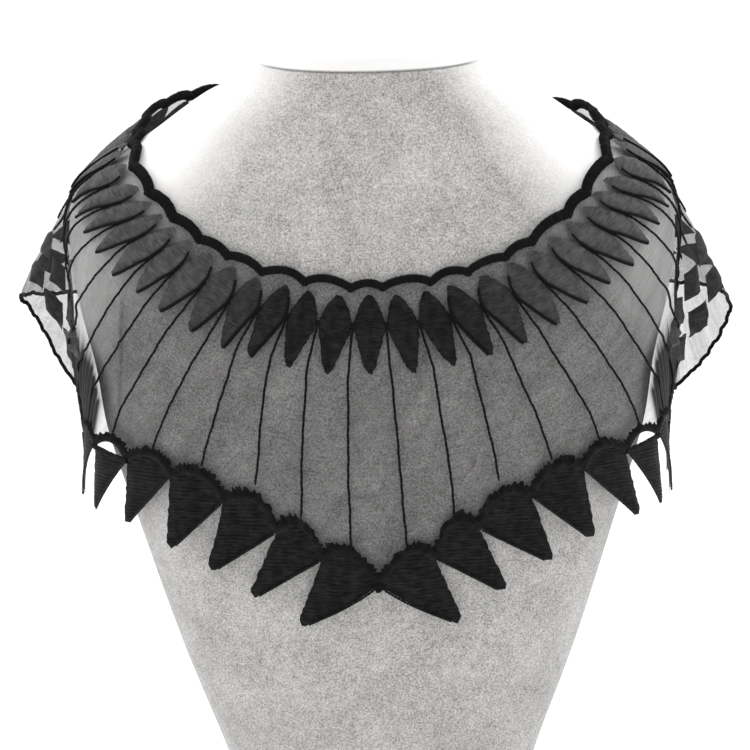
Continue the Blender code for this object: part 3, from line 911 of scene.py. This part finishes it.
def leaves(finish, cord):
    """Satin leaves stitched crosswise, those toward the shoulders with a painted sheen, with a corded
    lower edge.
    """
    work = Stitching()
    edges = Stitching()
    rows = 30
    outline = np.linspace(LEAF_OUTLINE[0][0], LEAF_OUTLINE[-1][0], rows)
    breadth = np.array([spline(LEAF_OUTLINE, x) for x in outline])
    even = np.linspace(0, 1, rows)

    def pitch_at(number, depth):
        return leaf_pitch(number, depth / length(leaf_pitch(number, TURN_SHARE)))

    def place(number, depth, room):
        return lifted(pitch_at(number, depth), depth, room)

    for leaf in range(-HALF_LEAVES, HALF_LEAVES):
        down = outline
        if LONG_LEAVES[0] <= abs(leaf) <= LONG_LEAVES[1]:
            down = outline * LONG_LEAF
        half = np.minimum(breadth * (1 + 0.14 * fade(3, 6, abs(leaf))), 0.5)
        ragged = thread_jitter.uniform(-0.02, 0.02, (2, rows))
        starts = np.stack([leaf - half + ragged[0], down - 0.3], axis=1)
        ends = np.stack([leaf + half + ragged[1], down + 0.3], axis=1)
        # Painted sheen: leaves toward the shoulders are mixed paler, standing in for the light their satin
        # catches.
        work.painted_sheen_share = float(fade(2.2, 7.0, abs(leaf)))
        work.satin(place, starts, ends, TRIM_LOW, TRIM_CROWN)
        if EDGED_LEAVES[0] <= abs(leaf) <= EDGED_LEAVES[1]:
            side = -1 if leaf > 0 else 1
            rim = np.linspace(0.12, 1, 40)
            depth = np.interp(rim, even, down)
            pitch = pitch_at(leaf + side * 0.93 * np.interp(rim, even, half), depth)
            centres = lifted(pitch, depth, TRIM_LOW + 1.0)
            edges.strand(centres, outward(pitch, depth), 0.5 + 0.25 * rim, sides=6)
    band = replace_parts(work.piece("leaves_stitched", finish, "embroidery"), "leaf_band")
    return [band, edges.piece("leaf_edge_cords", cord, "embroidery")]


# How far each stem line stops short of its arch, from the front centre outward, in mm
STEM_STOPS = (0.0, 0.0, 3.5, 0.5, 0.0, 0.5, 0.5, 1.0, 0.0)
STEM_START = 13.0


def stems(finish):
    """A couched line between each pair of leaves, running out to the hem or the rhombi."""
    work = Stitching()
    for line in range(-HALF_LEAVES, HALF_LEAVES):
        number = line + 0.5
        hem = float(leaf_pitch(number, 1.0))
        reach = float(length(hem))
        if abs(number) < FRONT_END:
            end = reach - float(arch_height(np.array(hem))) - ARCH_BAND / 2 - STEM_STOPS[int(abs(number))]
        else:
            end = reach * RHOMBUS_START
        down = np.arange(STEM_START, end, 0.9)
        phase = thread_jitter.uniform(0, 6.28, 3)
        drift = (0.008 * np.sin(down * 0.11 + phase[0]) + 0.005 * np.sin(down * 0.29 + phase[1])
                 + 0.004 * np.sin(down * 0.8 + phase[2]))
        pitch = leaf_pitch(number, down / reach) + drift * fade(STEM_START, STEM_START + 20, down)
        outs = outward(pitch, down)
        bead = 0.56 * (1 + 0.16 * np.sin(down * 2.4 + phase[0])) * np.minimum(1, (end - down) / 3 + 0.4)
        work.strand(lifted(pitch, down, TRIM_LOW + 0.35), outs, bead, sides=6)
    return work.piece("stem_lines", finish, "embroidery")


def rhombi(finish):
    """Two chains of slanted satin rhombi that meet at their corners."""
    work = Stitching()
    rows = 15
    # The rhombi get a quarter of the painted sheen.
    work.painted_sheen_share = 0.25

    def place(pitch, share, room):
        return lifted(pitch, share * length(pitch), room)

    def rhombus(middle, side):
        corners = [middle + np.array(corner) * (side, 1) for corner in RHOMBUS]
        t = np.linspace(0, 1, rows)[:, None]
        ragged = thread_jitter.uniform(-0.02, 0.02, (2, rows, 1)) * (1, 0)
        starts = corners[0] + (corners[2] - corners[0]) * t + ragged[0]
        ends = corners[1] + (corners[3] - corners[1]) * t + ragged[1]
        work.satin(place, starts, ends, TRIM_LOW, TRIM_CROWN * 0.8)

    for side in (1, -1):
        for first, share in RHOMBUS_ROWS:
            turn = first
            while turn < HALF_RING - 0.9:
                rhombus(np.array((side * turn, share)), side)
                turn += RHOMBUS_PERIOD
    for first, share in RHOMBUS_ROWS:
        rhombus(np.array((HALF_RING, share)), 1)
    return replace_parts(work.piece("rhombi_stitched", finish, "embroidery"), "rhombus_border")


def hem_width(pitch):
    """Length of the hem over one pitch."""
    near = ground(pitch - 0.5, length(pitch - 0.5))
    far = ground(pitch + 0.5, length(pitch + 0.5))
    return float(np.linalg.norm(far - near))


def arches(finish):
    """Satin arches along the front hem, their threads fanned out and feathered at the top."""
    work = Stitching()
    thread = 0.85
    for first in range(-FRONT_END, FRONT_END):
        width = hem_width(np.array(first + 0.5))
        fine = np.linspace(-0.035, 1.035, 300)
        height = arch_height(first + np.clip(fine, 0.001, 0.999))
        line = np.stack([fine * width, height], axis=1)
        run = np.concatenate([[0], np.cumsum(np.linalg.norm(np.diff(line, axis=0), axis=1))])
        rows = round(run[-1] / thread)
        even = np.linspace(0, run[-1], rows)
        middle = np.stack([np.interp(even, run, line[:, 0]), np.interp(even, run, line[:, 1])], axis=1)
        heading = np.gradient(middle, axis=0)
        heading /= np.linalg.norm(heading, axis=1, keepdims=True)
        normal = np.stack([-heading[:, 1], heading[:, 0]], axis=1)
        soft = np.minimum(1.0, 0.8 + np.minimum(even, even[::-1]) / 10)[:, None]
        starts = middle - normal * ARCH_BAND / 2 * soft
        ends = middle + normal * (ARCH_BAND / 2 - 0.5) * soft
        under = hanging((np.array(first + 0.02), np.array(first + 0.98)), 1)

        def place(x, rise, room, first=first, width=width, under=under):
            return under(first + x / width, -rise, room)

        work.satin(place, starts, ends, TRIM_LOW + 0.6, TRIM_CROWN, groove=0.5, segments=4, feather=2.6)
    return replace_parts(work.piece("arches_stitched", finish, "embroidery"), "hem_arches")


def rows_across(outline, angle, spacing):
    """Where parallel rows at an angle cross a closed outline of (x, y) points."""
    turn = np.array(((math.cos(angle), math.sin(angle)), (-math.sin(angle), math.cos(angle))))
    turned = outline @ turn.T
    low = turned[:, 1].min()
    high = turned[:, 1].max()
    starts = []
    ends = []
    for y in np.arange(low + spacing * 0.4, high, spacing):
        crossings = []
        for a, b in zip(turned, np.roll(turned, -1, axis=0)):
            if (a[1] - y) * (b[1] - y) < 0:
                crossings.append(a[0] + (b[0] - a[0]) * (y - a[1]) / (b[1] - a[1]))
        if len(crossings) >= 2:
            starts.append((min(crossings), y))
            ends.append((max(crossings), y))
    return np.array(starts) @ turn, np.array(ends) @ turn


def pennant(side, number, finish):
    """Pointed flag under one arch: level rows of satin, with a cord along its inner edge.

    The one below the open arch is straight at the top, with a stout cord along it.
    """
    inner = number - 1
    reach, lean = PENNANTS[side][inner]
    width = hem_width(np.array(side * (inner + 0.5)))
    under = hanging([np.array(side * (inner + t)) for t in (0.035, 0.965)], side)

    def place(x, drop, room):
        return under(side * (inner + x / width), drop, room)

    t = np.linspace(PENNANT_MARGIN, 1 - PENNANT_MARGIN, 17)
    top = np.maximum(ARCH_BAND / 2 - 0.9 - arch_height(inner + t), -9.0)
    if number == OPEN_ARCH:
        top = np.full(t.shape, 1.4)
    middle = lean * width
    half = PENNANT_TIP / 2
    tip = [(middle + half, reach - 2.4), (middle + half * 0.7, reach - 0.8), (middle, reach),
           (middle - half * 0.7, reach - 0.8), (middle - half, reach - 2.4)]
    outline = np.array([(x * width, y) for x, y in zip(t, top)] + tip)
    hem = place(np.array(width), np.array(0.0), 0.0) - place(np.array(0.0), np.array(0.0), 0.0)
    tilt = math.asin(float(np.clip(hem[2] / np.linalg.norm(hem), -1, 1)))
    starts, ends = rows_across(outline, tilt, 1.7)
    ends = ends + thread_jitter.uniform(-0.3, 0.45, (len(ends), 1)) * (1, 0)
    work = Stitching()
    work.satin(place, starts, ends, TRIM_LOW + 0.2, TRIM_CROWN * 0.75, groove=0.7)
    edge = np.linspace(0, 1, 70)
    x = t[0] * width * (1 - edge) + (middle - half) * edge + 0.25
    y = (ARCH_BAND / 2 - 0.5) * (1 - edge) + (reach - 2.2) * edge
    points = place(x, y, TRIM_LOW + 1.3)
    outs = outward(side * (inner + x / width), np.full(x.shape, float(length(side * (inner + 0.5))) - 3))
    work.strand(points, outs, 0.6, sides=6, wrap=0.2)
    if number == OPEN_ARCH:
        x = np.linspace(-0.02, 1.02, 70) * width
        points = place(x, np.full(x.shape, 1.2), TRIM_LOW + 0.9)
        pitch = side * (inner + x / width)
        work.strand(points, outward(pitch, length(pitch) - 3), 1.3, sides=8, wrap=0.25)
    name = "pennant_%s_%d" % ("right" if side > 0 else "left", number)
    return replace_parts(work.piece(name + "_stitched", finish, "embroidery"), name)


def centre_knot(finish):
    """Small knot of thread where the two front hems meet."""
    work = Stitching()
    under = hanging((np.array(-0.1), np.array(0.1)), 1)
    for number, (x, drop) in enumerate(((-0.07, 1.4), (0.0, 2.4), (0.07, 1.4), (0.0, 0.4))):
        t = np.linspace(-1, 1, 9)
        pitch = x + t * 0.06
        outs = outward(pitch, np.full(t.shape, float(length(0.0)) - 3))
        points = under(pitch, drop + 0.7 * t * (-1) ** number, TRIM_LOW + 1.6)
        work.strand(points, outs, 1.1 * np.sqrt(1 - (t * 0.9) ** 2), sides=7)
    return work.piece("centre_knot", finish, "embroidery")


def floor():
    """Wide sheet of pale paper that the bust stands on."""
    bpy.ops.mesh.primitive_plane_add(size=24)
    plane = bpy.context.object
    plane.name = "floor"
    plane.data.materials.append(floor_finish())


def studio_light():
    """Pale room that is brightest overhead, with a soft box over each shoulder."""
    world = bpy.data.worlds.new("pale studio")
    bpy.context.scene.world = world
    world.use_nodes = True
    room = Shading(world.node_tree)
    background = room.tree.nodes["Background"]
    height = room.node("ShaderNodeSeparateXYZ", None, {0: room.node("ShaderNodeTexCoord")}, output=2)
    room.feed(background.inputs["Strength"], room.span(height, 0.0, 1.0, 0.55, 1.5))
    room.feed(background.inputs["Color"], (1, 1, 1, 1))
    for side in (-1, 1):
        light = bpy.data.lights.new("shoulder_box", "AREA")
        light.shape = "SQUARE"
        light.size = 0.7
        light.energy = 7.0
        box = bpy.data.objects.new("shoulder_box", light)
        box.location = (side * 0.9, 0.35, 1.1)
        aim = Vector((0, 0, 0.3)) - box.location
        box.rotation_euler = aim.to_track_quat("-Z", "Y").to_euler()
        bpy.context.scene.collection.objects.link(box)


# The photograph's view: 0.46 mm a pixel at the target, seen from 10 degrees above
IMAGE_SIZE = 750
PIXEL = 0.46
VIEW_DISTANCE = 1600.0
VIEW_ELEVATION = math.radians(10.0)
VIEW_ROLL = math.radians(1.1)
VIEW_TARGET = (0.0, 0.0, 222.2)


def camera():
    """Camera at the photograph's angle, with a lens that gives its scale."""
    data = bpy.data.cameras.new("camera")
    data.sensor_width = 36.0
    data.lens = VIEW_DISTANCE / PIXEL * data.sensor_width / IMAGE_SIZE
    thing = bpy.data.objects.new("camera", data)
    target = (np.array(VIEW_TARGET) + SHIFT * (1, 1, 0)) * MM
    back = np.array((0.0, -math.cos(VIEW_ELEVATION), math.sin(VIEW_ELEVATION)))
    thing.location = target + back * VIEW_DISTANCE * MM
    turn = Vector(-back).to_track_quat("-Z", "Y").to_matrix().to_4x4()
    thing.rotation_euler = (turn @ Matrix.Rotation(-VIEW_ROLL, 4, "Z")).to_euler()
    data.clip_start = 0.05
    data.clip_end = 60.0
    bpy.context.scene.collection.objects.link(thing)
    bpy.context.scene.camera = thing


def build():
    sheer = organza_finish()
    satin = satin_finish("black satin stitch", 0.002, 0.034, 0.42)
    couched = satin_finish("black couched thread", 0.003, 0.010, 0.5)
    cord = cord_finish()
    bust(velvet_finish())
    front = cloth("organza_front_sheet", "organza_front", -FRONT_END, FRONT_END, True, sheer)
    back = cloth("organza_back_sheet", "organza_back", FRONT_END, RING - FRONT_END, False, sheer)
    trims = [neck_edge(cord), *leaves(satin, cord), stems(couched), arches(satin), centre_knot(couched)]
    for number in range(1, FRONT_END + 1):
        for side in (-1, 1):
            trims.append(pennant(side, number, satin))
    back_trims = [plain_hem(cord), rhombi(satin)]


bpy.context.scene.view_settings.view_transform = "Standard"
build()
floor()
studio_light()
camera()
